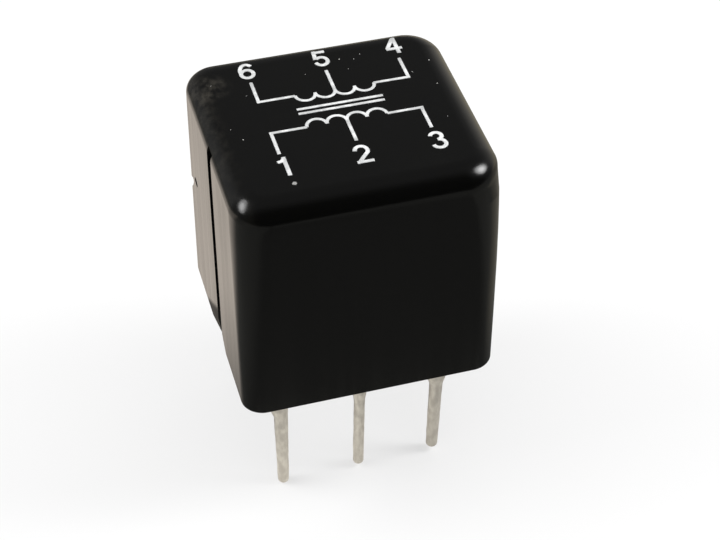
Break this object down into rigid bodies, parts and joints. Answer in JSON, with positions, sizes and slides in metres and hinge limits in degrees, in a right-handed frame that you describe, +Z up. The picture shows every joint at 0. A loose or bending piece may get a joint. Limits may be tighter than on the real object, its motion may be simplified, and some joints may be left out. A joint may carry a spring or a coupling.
{
  "type": "pcb transformer",
  "caption": "Small potted transformer for a circuit board: black moulded cup over a laminated core and its windings, with two rows of tinned pins below.",
  "frame": {"origin": "middle of the cup's rim, in the plane that sits on the circuit board", "axes": "+Z up out of the board, -Z along the pins, +X along the pin rows, +Y towards the rear row; the row with the pin numbered 1 is at -Y, and the grooved wall is at -X"},
  "size_m": [0.016, 0.015, 0.0251],
  "materials": {
    "case_plastic": "glossy black moulding, with white print on top",
    "lamination_steel": "dull grey annealed core sheet",
    "bobbin_plastic": "natural ivory nylon",
    "copper_wire": "enamelled copper wire, wound in layers",
    "tape_film": "yellow polyester film tape",
    "tinned_pin": "dipped tin, slightly uneven",
    "solder": "bright solder",
    "potting_epoxy": "cured black epoxy"
  },
  "bodies": {
    "root": {"case": "case_plastic", "e_lamination_01": "lamination_steel", "i_lamination_01": "lamination_steel", "e_lamination_02": "lamination_steel", "i_lamination_02": "lamination_steel", "e_lamination_03": "lamination_steel", "i_lamination_03": "lamination_steel", "e_lamination_04": "lamination_steel", "i_lamination_04": "lamination_steel", "e_lamination_05": "lamination_steel", "i_lamination_05": "lamination_steel", "e_lamination_06": "lamination_steel", "i_lamination_06": "lamination_steel", "e_lamination_07": "lamination_steel", "i_lamination_07": "lamination_steel", "e_lamination_08": "lamination_steel", "i_lamination_08": "lamination_steel", "e_lamination_09": "lamination_steel", "i_lamination_09": "lamination_steel", "e_lamination_10": "lamination_steel", "i_lamination_10": "lamination_steel", "e_lamination_11": "lamination_steel", "i_lamination_11": "lamination_steel", "e_lamination_12": "lamination_steel", "i_lamination_12": "lamination_steel", "e_lamination_13": "lamination_steel", "i_lamination_13": "lamination_steel", "bobbin": "bobbin_plastic", "primary_winding": "copper_wire", "interwinding_tape": "tape_film", "secondary_winding": "copper_wire", "outer_tape": "tape_film", "pin_1": "tinned_pin", "solder_joint_1": "solder", "pin_2": "tinned_pin", "solder_joint_2": "solder", "pin_3": "tinned_pin", "solder_joint_3": "solder", "pin_4": "tinned_pin", "solder_joint_4": "solder", "pin_5": "tinned_pin", "solder_joint_5": "solder", "pin_6": "tinned_pin", "solder_joint_6": "solder", "potting": "potting_epoxy"}
  },
  "joints": []
}
